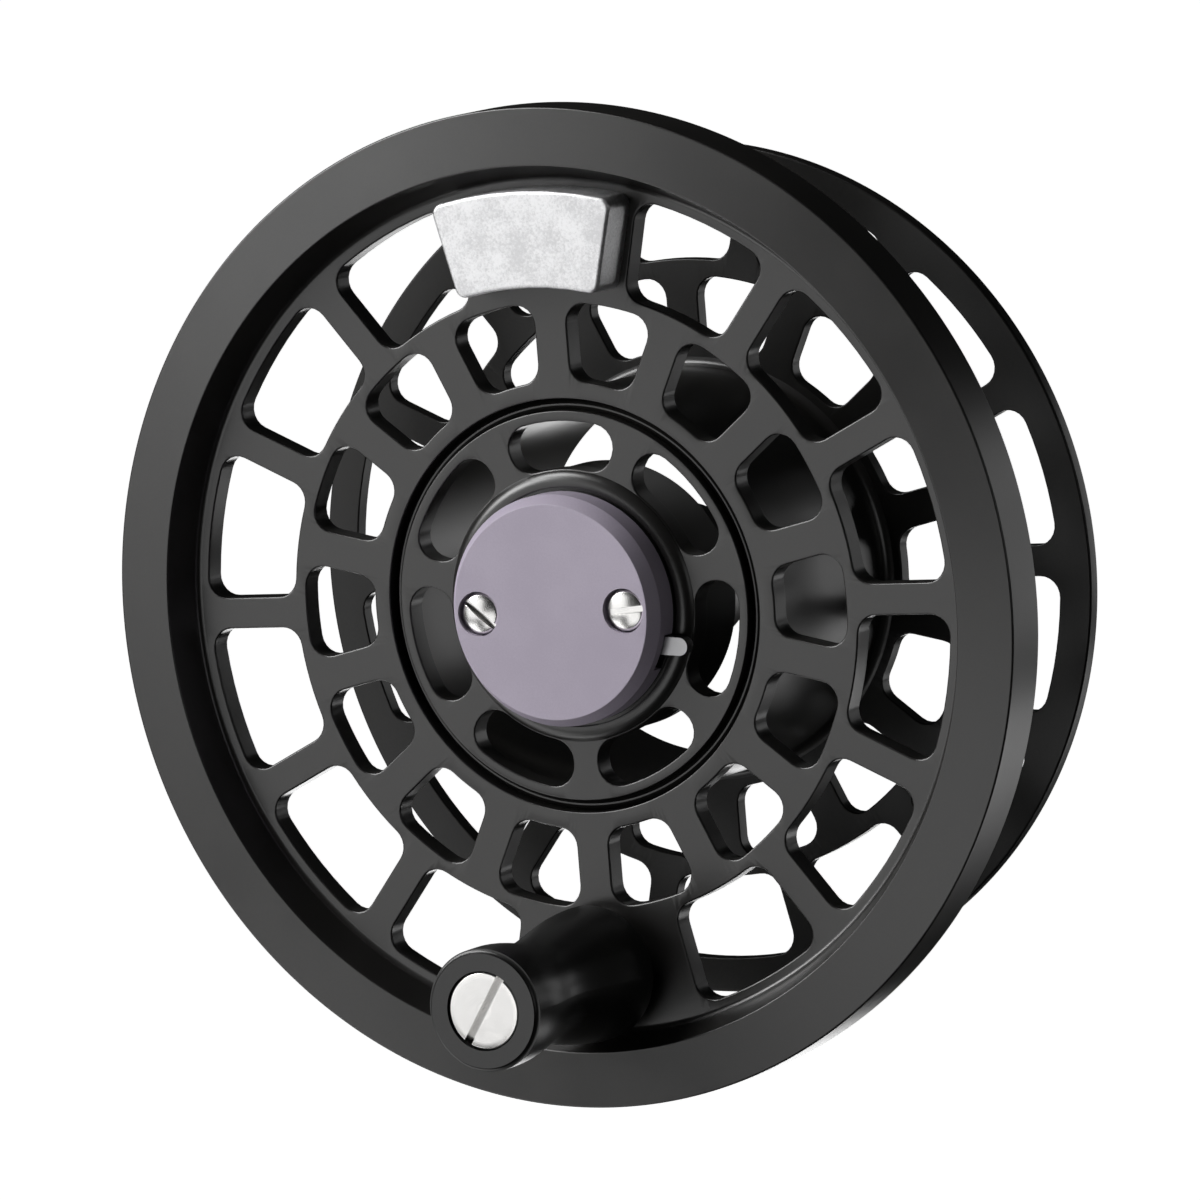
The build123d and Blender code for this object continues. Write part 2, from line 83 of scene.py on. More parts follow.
# --------------------------------------------------------------------------------------------
# Shader graphs
# --------------------------------------------------------------------------------------------
class Value:
    """A socket in a shader graph that can be used in ordinary sums."""

    def __init__(self, graph: "Graph", socket: bpy.types.NodeSocket) -> None:
        """Wrap a socket.

        Args:
            graph: Graph that the socket is in.
            socket: Output socket that carries a number.
        """
        self.graph = graph
        self.socket = socket

    def _math(self, operation: str, first: Any, second: Any = None) -> "Value":
        """Add one Math node.

        Args:
            operation: Name of the sum.
            first: First number or value.
            second: Second number or value, if the sum has one.

        Returns:
            The sum's value.
        """
        inputs = {0: first} if second is None else {0: first, 1: second}
        return self.graph.add("ShaderNodeMath", {"operation": operation}, inputs)

    def __add__(self, other: Any) -> "Value":
        """Sum of two values."""
        return self._math("ADD", self, other)

    def __radd__(self, other: Any) -> "Value":
        """Sum with a number on the left."""
        return self._math("ADD", other, self)

    def __sub__(self, other: Any) -> "Value":
        """Difference of two values."""
        return self._math("SUBTRACT", self, other)

    def __rsub__(self, other: Any) -> "Value":
        """Difference with a number on the left."""
        return self._math("SUBTRACT", other, self)

    def __mul__(self, other: Any) -> "Value":
        """Product of two values."""
        return self._math("MULTIPLY", self, other)

    def __rmul__(self, other: Any) -> "Value":
        """Product with a number on the left."""
        return self._math("MULTIPLY", other, self)

    def __pow__(self, other: Any) -> "Value":
        """Power of a value."""
        return self._math("POWER", self, other)

    def root(self) -> "Value":
        """Square root."""
        return self._math("SQRT", self)

    def step(self, low: float, high: float) -> "Value":
        """Smooth step from 0 at one value to 1 at another.

        Args:
            low: Value that gives 0.
            high: Value that gives 1.

        Returns:
            The stepped value.
        """
        settings = {"interpolation_type": "SMOOTHSTEP"}
        inputs = {"Value": self, 1: low, 2: high, 3: 0.0, 4: 1.0}
        return self.graph.add("ShaderNodeMapRange", settings, inputs)


class Graph:
    """One material's shader graph around a Principled shader."""

    def __init__(self, name: str) -> None:
        """Start a material.

        Args:
            name: The material's name.
        """
        self.material = bpy.data.materials.new(name)
        self.material.use_nodes = True
        self.tree = self.material.node_tree
        self.shader = self.tree.nodes["Principled BSDF"]

    def _set(self, socket: bpy.types.NodeSocket, value: Any) -> None:
        """Link a value to a socket, or set a constant on it.

        Args:
            socket: Input socket.
            value: A Value, a socket, a number, a colour or a vector.
        """
        if isinstance(value, Value):
            value = value.socket
        if isinstance(value, bpy.types.NodeSocket):
            self.tree.links.new(value, socket)
            return
        if socket.type == "RGBA" and len(value) == 3:
            value = (*value, 1.0)
        socket.default_value = value

    def node(self, kind: str, settings: dict[str, Any], inputs: dict[Any, Any]) -> bpy.types.Node:
        """Add any node: settings first, then its sockets.

        Args:
            kind: Node type.
            settings: Node properties, and a ramp's stops under "stops".
            inputs: Socket name or number to a value or a constant.

        Returns:
            The node.
        """
        node = self.tree.nodes.new(kind)
        for key, value in settings.items():
            if key == "stops":
                self._stops(node.color_ramp, value)
            else:
                setattr(node, key, value)
        for key, value in inputs.items():
            self._set(node.inputs[key], value)
        return node

    @staticmethod
    def _stops(ramp: bpy.types.ColorRamp, stops: Sequence[tuple[float, Colour]]) -> None:
        """Write a colour ramp's stops.

        Args:
            ramp: The ramp.
            stops: Position and colour of each stop.
        """
        while len(ramp.elements) < len(stops):
            ramp.elements.new(0.5)
        for element, (place, colour) in zip(ramp.elements, stops):
            element.position = place
            element.color = (*colour, 1.0)

    def add(self, kind: str, settings: dict[str, Any], inputs: dict[Any, Any], output: Any = 0) -> Value:
        """Add a node and take one of its outputs.

        Args:
            kind: Node type.
            settings: Node properties.
            inputs: Socket name or number to a value or a constant.
            output: Name or number of the output wanted.

        Returns:
            That output.
        """
        return Value(self, self.node(kind, settings, inputs).outputs[output])

    def place(self) -> Value:
        """Place on the object, in metres."""
        return self.add("ShaderNodeTexCoord", {}, {}, "Object")

    def parts(self, vector: Value) -> tuple[Value, Value, Value]:
        """Split a vector.

        Args:
            vector: The vector.

        Returns:
            Its X, Y and Z.
        """
        split = self.node("ShaderNodeSeparateXYZ", {}, {0: vector})
        return tuple(Value(self, split.outputs[k]) for k in range(3))

    def radius(self, centre: Point) -> Value:
        """Distance from an axis along Y.

        Args:
            centre: X and Z of the axis.

        Returns:
            The distance in metres.
        """
        x, _, z = self.parts(self.place())
        return ((x - centre[0]) ** 2.0 + (z - centre[1]) ** 2.0).root()

    def noise(self, scale: float, detail: float = 3.0, rough: float = 0.5,
              vector: Value | None = None) -> Value:
        """Soft noise between 0 and 1.

        Args:
            scale: Waves per metre.
            detail: Number of finer octaves.
            rough: Weight of the finer octaves.
            vector: Place to read the noise at.

        Returns:
            The noise.
        """
        inputs = {"Vector": vector or self.place(), "Scale": scale, "Detail": detail, "Roughness": rough}
        return self.add("ShaderNodeTexNoise", {}, inputs)

    def grains(self, scale: float) -> Value:
        """Distance to the nearest of scattered grains.

        Args:
            scale: Grains per metre.

        Returns:
            The distance, 0 in a grain's middle.
        """
        return self.add("ShaderNodeTexVoronoi", {}, {"Vector": self.place(), "Scale": scale})

    def rings(self, centre: Point, per_metre: float) -> Value:
        """Uneven rings about an axis along Y, as a lathe tool leaves them.

        Args:
            centre: X and Z of the axis.
            per_metre: Rings per metre of radius.

        Returns:
            The rings' height between 0 and 1.
        """
        spot = self.add("ShaderNodeCombineXYZ", {}, {0: self.radius(centre) * per_metre, 1: 0.0, 2: 0.0})
        return self.noise(1.0, 2.0, 0.6, spot)

    def mix(self, factor: Value, first: Colour | Value, second: Colour | Value) -> Value:
        """Blend two colours.

        Args:
            factor: 0 gives the first, 1 the second.
            first: First colour.
            second: Second colour.

        Returns:
            The blended colour.
        """
        return self.add("ShaderNodeMix", {"data_type": "RGBA"}, {0: factor, 6: first, 7: second}, 2)

    def bump(self, height: Value, depth: float, strength: float = 1.0, under: Value | None = None) -> Value:
        """Turn a height into a normal.

        Args:
            height: Height between 0 and 1.
            depth: Height of 1 in metres.
            strength: How much of the bump shows.
            under: Normal to add the bump to.

        Returns:
            The normal.
        """
        inputs = {"Height": height, "Distance": depth, "Strength": strength}
        if under is not None:
            inputs["Normal"] = under
        return self.add("ShaderNodeBump", {}, inputs)

    def finish(self, **sockets: Any) -> bpy.types.Material:
        """Set the Principled shader's sockets.

        Args:
            **sockets: Socket names, with underscores for spaces, and their values.

        Returns:
            The material.
        """
        for key, value in sockets.items():
            self._set(self.shader.inputs[key.replace("_", " ").title().replace("Ior", "IOR")], value)
        return self.material


# --------------------------------------------------------------------------------------------
# Finishes
# --------------------------------------------------------------------------------------------
@dataclass(frozen=True)
class Anodised:
    """Dyed anodic film on machined aluminium, satin from a fine bead blast."""

    name: str
    colour: Colour
    deep: Colour
    roughness: float = 0.30
    spread: float = 0.08
    blast: float = 0.006 * MM
    blast_scale: float = 5600.0
    turned: float = 0.0012 * MM
    rings_per_metre: float = 5200.0
    centre: Point = (0.0, 0.0)
    ior: float = 1.7
    cloud_scale: float = 140.0
    cloud_share: float = 0.6
    cloud_span: tuple[float, float] = (0.38, 0.64)
    # Optional painted light: inside painted_light_radius the colour turns paler, standing in for light that
    # falls on a drum's inner wall.
    painted_light_colour: Colour | None = None
    painted_light_radius: float = 0.0
    painted_light_edge: float = 0.02 * MM

    def make(self) -> bpy.types.Material:
        """Build the material.

        Returns:
            The material.
        """
        graph = Graph(self.name)
        cloud = graph.noise(self.cloud_scale, 4.0, 0.55)
        fine = graph.noise(self.blast_scale, 2.0, 0.6)
        rings = graph.rings(self.centre, self.rings_per_metre)
        mottle = cloud * self.cloud_share + fine * (1.0 - self.cloud_share)
        colour = graph.mix(mottle.step(*self.cloud_span), self.deep, self.colour)
        # Painted light: paler colour inside the given radius, standing in for light falling on the drum's
        # inner wall.
        if self.painted_light_colour is not None:
            near, far = self.painted_light_radius - self.painted_light_edge, self.painted_light_radius + self.painted_light_edge
            colour = graph.mix(graph.radius(self.centre).step(near, far), self.painted_light_colour, colour)
        rough = self.roughness + (cloud - 0.5) * self.spread + (rings - 0.5) * (self.spread * 0.3)
        normal = graph.bump(fine, self.blast, 0.6, graph.bump(rings, self.turned, 0.5))
        return graph.finish(base_color=colour, metallic=0.0, roughness=rough, normal=normal, ior=self.ior)


@dataclass(frozen=True)
class TurnedSteel:
    """Bright stainless with the rings that a facing cut leaves and a faint stain."""

    name: str
    colour: Colour = (0.88, 0.87, 0.855)
    roughness: float = 0.22
    depth: float = 0.003 * MM
    rings_per_metre: float = 16000.0
    stain_shade: float = 0.93
    centre: Point = (0.0, 0.0)

    def make(self) -> bpy.types.Material:
        """Build the material.

        Returns:
            The material.
        """
        graph = Graph(self.name)
        rings = graph.rings(self.centre, self.rings_per_metre)
        stain = graph.noise(900.0, 4.0, 0.6)
        scratch = graph.noise(26000.0, 2.0, 0.7)
        stained = tuple(c * self.stain_shade for c in self.colour)
        colour = graph.mix(stain.step(0.3, 0.75), stained, self.colour)
        rough = self.roughness + (stain - 0.5) * 0.05 + (rings - 0.5) * 0.14
        normal = graph.bump(scratch, self.depth * 0.3, 0.5, graph.bump(rings, self.depth, 0.8))
        return graph.finish(base_color=colour, metallic=1.0, roughness=rough, normal=normal)


@dataclass(frozen=True)
class Tumbled:
    """Cast alloy, tumbled until the skin is mottled and the edges shine."""

    name: str
    light: Colour = (0.90, 0.90, 0.91)
    dark: Colour = (0.68, 0.68, 0.69)
    roughness: float = 0.44
    patch_share: float = 0.45
    skin_depth: float = 0.020 * MM

    def make(self) -> bpy.types.Material:
        """Build the material.

        Returns:
            The material.
        """
        graph = Graph(self.name)
        patches = graph.noise(420.0, 5.0, 0.6)
        pits = graph.grains(3200.0)
        fine = graph.noise(4600.0, 3.0, 0.7)
        mottle = patches * self.patch_share + fine * (1.0 - self.patch_share)
        colour = graph.mix(mottle.step(0.38, 0.60), self.dark, self.light)
        rough = self.roughness + (patches - 0.5) * 0.25 + (fine - 0.5) * 0.25
        height = patches * 0.4 + pits.step(0.0, 0.45) * 0.4 + fine * 0.5
        normal = graph.bump(height, self.skin_depth, 0.8)
        return graph.finish(base_color=colour, metallic=0.9, roughness=rough, normal=normal)


@dataclass(frozen=True)
class Moulded:
    """Turned or moulded plastic with a fine satin grain."""

    name: str
    colour: Colour = (0.018, 0.018, 0.018)
    worn: Colour = (0.05, 0.05, 0.048)
    roughness: float = 0.42
    grain: float = 0.004 * MM
    rings_per_metre: float = 7000.0
    centre: Point = (0.0, 0.0)
    ior: float = 1.48

    def make(self) -> bpy.types.Material:
        """Build the material.

        Returns:
            The material.
        """
        graph = Graph(self.name)
        cloud = graph.noise(420.0, 5.0, 0.6)
        fine = graph.noise(12000.0, 2.0, 0.6)
        rings = graph.rings(self.centre, self.rings_per_metre)
        colour = graph.mix(cloud.step(0.55, 0.8), self.colour, self.worn)
        rough = self.roughness + (cloud - 0.5) * 0.06 + (fine - 0.5) * 0.08
        normal = graph.bump(fine, self.grain, 0.6, graph.bump(rings, self.grain * 0.5, 0.4))
        return graph.finish(base_color=colour, metallic=0.0, roughness=rough, normal=normal, ior=self.ior)


@dataclass(frozen=True)
class Bronze:
    """Oil-filled sintered bronze with open pores."""

    name: str
    colour: Colour = (0.52, 0.34, 0.15)
    dark: Colour = (0.27, 0.17, 0.08)
    roughness: float = 0.38
    pore_depth: float = 0.01 * MM

    def make(self) -> bpy.types.Material:
        """Build the material.

        Returns:
            The material.
        """
        graph = Graph(self.name)
        pores = graph.grains(4200.0)
        cloud = graph.noise(600.0, 4.0, 0.6)
        colour = graph.mix((cloud * 0.7 + pores * 0.5).step(0.3, 0.75), self.dark, self.colour)
        rough = self.roughness + (cloud - 0.5) * 0.2
        normal = graph.bump(pores.step(0.05, 0.4), self.pore_depth, 0.6)
        return graph.finish(base_color=colour, metallic=1.0, roughness=rough, normal=normal)


# --------------------------------------------------------------------------------------------
# Meshes
# --------------------------------------------------------------------------------------------
def arc_corner(before: Point, corner: Point, after: Point, radius: float, steps: int) -> list[Point]:
    """Round one corner of an outline.

    Args:
        before: Point before the corner.
        corner: The corner.
        after: Point after the corner.
        radius: Radius of the round; 0 keeps the corner.
        steps: Stretches in the round.

    Returns:
        Points of the round, or the corner itself.
    """
    if radius <= 0:
        return [corner]
    here = Vector(corner)
    first, second = (Vector(before) - here).normalized(), (Vector(after) - here).normalized()
    half = first.angle(second) / 2
    reach = radius / math.tan(half)
    middle = here + (first + second).normalized() * (radius / math.sin(half))
    start = here + first * reach - middle
    turn = (math.pi - 2 * half) * (1 if first.cross(second) < 0 else -1)
    points = []
    for k in range(steps + 1):
        x, y = turned(start.x, start.y, turn * k / steps)
        points.append((middle.x + x, middle.y + y))
    return points


def rounded(corners: Sequence[tuple[float, float, float]], steps: int = 4) -> list[Point]:
    """Round every corner of a closed outline.

    Args:
        corners: Two places and the corner's radius, in mm, in order round the outline.
        steps: Stretches in each round.

    Returns:
        The outline's points in metres.
    """
    points: list[Point] = []
    count = len(corners)
    for k, (x, y, radius) in enumerate(corners):
        before, after = corners[k - 1][:2], corners[(k + 1) % count][:2]
        points += arc_corner(before, (x, y), after, radius, steps)
    return [(x * MM, y * MM) for x, y in points]


class Cut(Enum):
    """What a tool does to a body."""

    AWAY = "DIFFERENCE"
    ONTO = "UNION"


class Maker:
    """Makes closed meshes whose axes run along Y."""

    @staticmethod
    def from_rings(name: str, rings: list[list[Vector]], closed: bool = False) -> bpy.types.Object:
        """Skin a stack of rings that all have the same number of points.

        Args:
            name: The object's name.
            rings: Rings of points, in order.
            closed: Whether the last ring joins the first; else both ends are capped.

        Returns:
            The object.
        """
        mesh = bpy.data.meshes.new(name)
        work = bmesh.new()
        rows = [[work.verts.new(p) for p in ring] for ring in rings]
        count = len(rows[0])
        pairs = zip(rows, rows[1:] + rows[:1]) if closed else zip(rows, rows[1:])
        for low, high in pairs:
            for k in range(count):
                n = (k + 1) % count
                work.faces.new((low[k], low[n], high[n], high[k]))
        if not closed:
            work.faces.new(rows[0][::-1])
            work.faces.new(rows[-1])
        bmesh.ops.remove_doubles(work, verts=work.verts, dist=1e-7)
        bmesh.ops.recalc_face_normals(work, faces=work.faces)
        work.to_mesh(mesh)
        work.free()
        made = bpy.data.objects.new(name, mesh)
        bpy.context.scene.collection.objects.link(made)
        return made

    @staticmethod
    def lathe(name: str, profile: Sequence[Point], centre: Point = (0.0, 0.0),
              around: int = 256) -> bpy.types.Object:
        """Turn a closed (radius, station) outline about an axis along Y.

        Args:
            name: The object's name.
            profile: Outline points; two of them may lie on the axis.
            centre: X and Z of the axis.
            around: Stretches round the axis.

        Returns:
            The object.
        """
        rings = []
        for k in range(around):
            c, s = turned(1.0, 0.0, 2 * math.pi * k / around)
            rings.append([Vector((centre[0] + r * c, y, centre[1] + r * s)) for r, y in profile])
        return Maker.from_rings(name, rings, closed=True)

    @staticmethod
    def stack(name: str, outlines: Iterable[tuple[Sequence[Point], float]]) -> bpy.types.Object:
        """Skin outlines drawn in X and Z at stations along Y.

        Args:
            name: The object's name.
            outlines: Outline and station pairs, in order.

        Returns:
            The object.
        """
        return Maker.from_rings(name, [[Vector((x, y, z)) for x, z in line] for line, y in outlines])

    @staticmethod
    def join(name: str, parts: Sequence[bpy.types.Object]) -> bpy.types.Object:
        """Join objects into one.

        Args:
            name: The joined object's name.
            parts: Objects whose meshes are joined.

        Returns:
            The object.
        """
        work = bmesh.new()
        for part in parts:
            work.from_mesh(part.data)
        mesh = bpy.data.meshes.new(name)
        work.to_mesh(mesh)
        work.free()
        for part in parts:
            bpy.data.objects.remove(part)
        made = bpy.data.objects.new(name, mesh)
        bpy.context.scene.collection.objects.link(made)
        return made

    @staticmethod
    def cut(body: bpy.types.Object, tool: bpy.types.Object,
            way: Cut = Cut.AWAY) -> bpy.types.Object:
        """Cut a tool out of a body, or join the two, exactly.

        Args:
            body: The object that is kept.
            tool: The cutter, which is used up.
            way: Whether the tool is cut away or joined on.

        Returns:
            The body.
        """
        step = body.modifiers.new("cut", "BOOLEAN")
        step.operation = way.value
        step.solver = "EXACT"
        step.object = tool
        Maker.apply(body)
        bpy.data.objects.remove(tool)
        return body

    @staticmethod
    def bevel(body: bpy.types.Object, width: float, segments: int = 3) -> bpy.types.Object:
        """Round every sharp edge.

        Args:
            body: The object.
            width: Width of the rounds, in mm.
            segments: Stretches in each round.

        Returns:
            The same object.
        """
        step = body.modifiers.new("round", "BEVEL")
        step.width = width * MM
        step.segments = segments
        step.limit_method = "ANGLE"
        step.angle_limit = CREASE
        step.use_clamp_overlap = True
        Maker.apply(body)
        return body

    @staticmethod
    def disc(name: str, radius: float, front: float, rear: float,
             centre: Point = (0.0, 0.0)) -> bpy.types.Object:
        """Make a plain round disc or pin. Sizes in mm.

        Args:
            name: The object's name.
            radius: Its radius.
            front: Station of its front face.
            rear: Station of its rear face.
            centre: X and Z of its axis.

        Returns:
            The object.
        """
        return Maker.capsule(name, centre, centre, radius, front, rear, 96)

    @staticmethod
    def capsule(name: str, start: Point, end: Point, radius: float, front: float, rear: float,
                around: int = 64) -> bpy.types.Object:
        """Make a bar with round ends. Sizes in mm.

        Args:
            name: The object's name.
            start: X and Z of one end's centre.
            end: X and Z of the other end's centre.
            radius: Half of the bar's width.
            front: Station of its front face.
            rear: Station of its rear face.
            around: Stretches round its outline.

        Returns:
            The object.
        """
        course = math.atan2(end[1] - start[1], end[0] - start[0])
        line = []
        for k in range(around):
            turn = course - math.pi / 2 + 2 * math.pi * (k + 0.5) / around
            foot = end if k < around // 2 else start
            x, z = turned(radius, 0.0, turn)
            line.append(((foot[0] + x) * MM, (foot[1] + z) * MM))
        return Maker.stack(name, [(line, front * MM), (line, rear * MM)])

    @staticmethod
    def apply(body: bpy.types.Object) -> None:
        """Bake an object's modifiers into its mesh.

        Args:
            body: The object.
        """
        bpy.context.view_layer.update()
        seen = body.evaluated_get(bpy.context.evaluated_depsgraph_get())
        old, body.data = body.data, bpy.data.meshes.new_from_object(seen)
        body.modifiers.clear()
        bpy.data.meshes.remove(old)

    @staticmethod
    def shade(body: bpy.types.Object) -> bpy.types.Object:
        """Smooth the shading, with flat faces kept flat.

        Args:
            body: The object.

        Returns:
            The same object.
        """
        body.data.polygons.foreach_set("use_smooth", [True] * len(body.data.polygons))
        body.data.set_sharp_from_angle(angle=CREASE)
        weigh = body.modifiers.new("weigh", "WEIGHTED_NORMAL")
        weigh.keep_sharp = True
        weigh.weight = 90
        Maker.apply(body)
        return body


@dataclass(frozen=True)
class WindowRow:
    """A ring of windows between two arcs, parted by parallel-sided spokes. Sizes in mm."""

    inner: float
    outer: float
    count: int
    spoke: float
    corner: float
    turn: float
    solid: tuple[int, ...] = ()

    def outline(self, index: int, grow: float) -> list[Point]:
        """Outline of one window.

        Args:
            index: Window number, from the one in the turn's direction.
            grow: Distance that the outline is moved outwards.

        Returns:
            Points in X and Z, in metres.
        """
        middle = math.radians(self.turn + 360.0 * index / self.count)
        half = math.pi / self.count
        inner, outer = self.inner - grow, self.outer + grow
        side, corner = self.spoke / 2 - grow, self.corner + grow
        points: list[Point] = []
        low, high = inner + corner, outer - corner
        for reach, sign in ((low, -1), (high, -1), (high, 1), (low, 1)):
            along = math.sqrt(reach ** 2 - (side + corner) ** 2)
            spoke_angle = middle + sign * half
            u = Vector((math.cos(spoke_angle), math.sin(spoke_angle)))
            n = Vector((-u.y, u.x)) * -sign
            centre = u * along + n * (side + corner)
            radial = centre.normalized() * (1 if reach == high else -1)
            first, last = (radial, -n) if (sign < 0) != (reach != low) else (-n, radial)
            points += self._round(centre, first, last, corner)
        return self._with_arcs(points)

    @staticmethod
    def _round(centre: Vector, first: Vector, last: Vector, radius: float, steps: int = 6) -> list[Point]:
        """Points of a corner round between two directions.

        Args:
            centre: Centre of the round.
            first: Direction of its first point.
            last: Direction of its last point.
            radius: Its radius.
            steps: Stretches in it.

        Returns:
            The points in mm.
        """
        turn = math.atan2(first.x * last.y - first.y * last.x, first.dot(last))
        points = []
        for k in range(steps + 1):
            out = Vector(turned(first.x, first.y, turn * k / steps))
            points.append(tuple(centre + out * radius))
        return points

    @staticmethod
    def _with_arcs(points: list[Point], steps: int = 6) -> list[Point]:
        """Add the points of the two arcs between the corner rounds.

        Args:
            points: The four rounds, in order: inner, outer, outer, inner.
            steps: Stretches in each arc.

        Returns:
            The whole outline, in metres.
        """
        quarter = len(points) // 4
        whole: list[Point] = []
        for k in range(4):
            whole += points[k * quarter:(k + 1) * quarter]
            if k % 2:
                start, end = Vector(whole[-1]), Vector(points[((k + 1) % 4) * quarter])
                turn = math.atan2(start.x * end.y - start.y * end.x, start.dot(end))
                whole += [turned(start.x, start.y, turn * n / steps) for n in range(1, steps)]
        return [(x * MM, z * MM) for x, z in whole]

    def cutter(self, front: float, rear: float, edge: float, steps: int = 4) -> bpy.types.Object:
        """Cutter that leaves rounded edges on both faces of a plate.

        Args:
            front: Station of the plate's front face, in mm.
            rear: Station of its rear face.
            edge: Radius of the edge rounds.
            steps: Stretches in each round.

        Returns:
            One object with every window's cutter.
        """
        levels = [(front - OVERRUN, edge)]
        for k in range(steps + 1):
            angle = math.pi / 2 * k / steps
            levels.append((front + edge * (1 - math.cos(angle)), edge * (1 - math.sin(angle))))
        levels += [(front + rear - y, grow) for y, grow in reversed(levels)]
        parts = [
            Maker.stack("window", [(self.outline(k, grow), y * MM) for y, grow in levels])
            for k in range(self.count) if k not in self.solid
        ]
        return Maker.join("windows", parts)


class Body(Enum):
    """Bodies of the frame that pieces ride on."""

    SPOOL = "spool"
    KNOB = "knob"
    LATCH = "latch"


def settle(piece: bpy.types.Object, body: Body, slot: str, finish: bpy.types.Material, *nodes: str) -> None:
    """Put a finished piece in the frame's place.

    Args:
        piece: The piece.
        body: Body that it rides on.
        slot: Material slot of the record; not used.
        finish: Its material.
        *nodes: Frame nodes that it stands for.
    """
    piece.data.materials.clear()
    piece.data.materials.append(finish)
    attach(piece, body.value)
    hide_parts(*nodes)
    LOG.info("%s: %d faces", piece.name, len(piece.data.polygons))


# --------------------------------------------------------------------------------------------
# Sub-assemblies
# --------------------------------------------------------------------------------------------
@dataclass
class FrontPlate:
    """Palming rim and windowed web, turned and milled from one blank. Sizes in mm."""

    rim_radius: float = 44.48
    rim_depth: float = 5.1
    lip_radius: float = 39.4
    lip_rise: float = 0.6
    foot_radius: float = 38.1
    foot_fillet: float = 0.6
    channel_inner: float = 40.7
    channel_outer: float = 43.2
    channel_floor: float = -3.5
    web: float = 2.3
    hole: float = 18.45
    edge: float = 0.17
    hole_edges: tuple[float, float] = (0.1, 0.13)
    lip_edge: float = 0.16
    rim_edges: tuple[float, float] = (0.2, 0.15)
    channel_edge: float = 0.12
    channel_corner: float = 0.4
    post_hole: tuple[float, float] = (-32.5, 2.0)
    screw_spread: float = 4.6
    screw_height: float = 33.0
    sink: tuple[tuple[float, float], ...] = ((2.5, 0.0), (1.35, -1.15), (1.35, -2.6))
    rows: tuple[WindowRow, ...] = (
        WindowRow(28.1, 37.0, 14, 2.8, 1.8, 90.0, (0, 7)),
        WindowRow(20.0, 27.0, 14, 3.2, 1.8, 90.0 + 180.0 / 14),
    )

    def profile(self) -> list[Point]:
        """Section of rim and web.

        Returns:
            Outline points in metres.
        """
        lip = -self.rim_depth - self.lip_rise
        return rounded([
            (self.hole, 0, self.hole_edges[0]), (self.hole, -self.web, self.hole_edges[1]),
            (self.foot_radius, -self.web, self.foot_fillet), (self.lip_radius, lip, self.lip_edge),
            (self.rim_radius, -self.rim_depth, self.rim_edges[0]), (self.rim_radius, 0, self.rim_edges[1]),
            (self.channel_outer, 0, self.channel_edge),
            (self.channel_outer, self.channel_floor, self.channel_corner),
            (self.channel_inner, self.channel_floor, self.channel_corner),
            (self.channel_inner, 0, self.channel_edge),
        ], 5)

    def seat_cutter(self, side: int) -> bpy.types.Object:
        """Countersink for one of the counterweight's screws.

        Args:
            side: -1 or 1.

        Returns:
            The cutter.
        """
        line = [(0.0, self.sink[-1][1]), (0.0, OVERRUN), (self.sink[0][0], OVERRUN), *self.sink]
        centre = (side * self.screw_spread * MM, self.screw_height * MM)
        return Maker.lathe("sink", [(r * MM, y * MM) for r, y in line], centre, 72)

    def build(self) -> bpy.types.Object:
        """Turn the blank, cut its windows and drill it.

        Returns:
            The plate.
        """
        plate = Maker.lathe("front_plate", self.profile(), around=360)
        for row in self.rows:
            Maker.cut(plate, row.cutter(-self.web, 0, self.edge))
        height, radius = self.post_hole
        Maker.cut(plate, Maker.disc("post_hole", radius, -self.web - OVERRUN, OVERRUN, (0.0, height)))
        for side in (-1, 1):
            Maker.cut(plate, self.seat_cutter(side))
        return Maker.shade(plate)

    def dress(self, finish: bpy.types.Material) -> None:
        """Build the plate and put it in place.

        Args:
            finish: Its material.
        """
        settle(self.build(), Body.SPOOL, "black_anodised", finish, "face_plate")


@dataclass
class LineDrum:
    """Arbor and rear flange. Sizes in mm."""

    radius: float = 18.45
    bore: float = 17.0
    seat: float = 17.35
    crest: tuple[float, float] = (17.76, 17.92)
    crest_front: float = -1.55
    bevel: tuple[float, float] = (0.4, 0.7)
    width: float = 22.75
    flange: float = 1.55
    flange_radius: float = 38.7
    step: float = 0.6
    foot: float = 0.8
    edge: float = 0.14
    rows: tuple[WindowRow, ...] = (
        WindowRow(28.1, 35.6, 14, 2.8, 1.8, 90.0),
        WindowRow(20.0, 26.6, 14, 3.2, 1.8, 90.0 + 180.0 / 14),
    )

    def build_arbor(self) -> bpy.types.Object:
        """Turn the drum with its bevelled crest in the seam and its foot fillet.

        Returns:
            The drum.
        """
        rear = self.width + self.flange
        inner = self.radius - self.step
        section = rounded([
            (self.seat, 0, 0), (self.bore, 0, 0.05), (self.bore, rear, 0.15), (inner, rear, 0.1),
            (inner, self.width, 0), (self.radius + self.foot, self.width, 0),
            (self.radius, self.width, self.foot), (self.radius, self.crest_front + self.bevel[1], 0.02),
            (self.crest[1], self.crest_front, 0.06), (self.crest[0], self.crest_front, 0.06),
            (self.seat, self.crest_front + self.bevel[0], 0.02),
        ], 6)
        return Maker.shade(Maker.lathe("arbor_drum", section))

    def build_flange(self) -> bpy.types.Object:
        """Turn the rear flange and cut its windows.

        Returns:
            The flange.
        """
        rear = self.width + self.flange
        section = rounded([
            (self.radius - self.step, self.width, 0.05), (self.flange_radius, self.width, 0.2),
            (self.flange_radius, rear, 0.3), (self.radius - self.step, rear, 0.1),
        ])
        flange = Maker.lathe("back_flange", section, around=360)
        for row in self.rows:
            Maker.cut(flange, row.cutter(self.width, rear, self.edge))
        return Maker.shade(flange)

    def dress(self, drum: bpy.types.Material, flange: bpy.types.Material) -> None:
        """Build both pieces and put them in place.

        Args:
            drum: The arbor's material.
            flange: The flange's material.
        """
        settle(self.build_arbor(), Body.SPOOL, "black_anodised", drum, "arbor")
        settle(self.build_flange(), Body.SPOOL, "black_anodised", flange, "rear_flange")


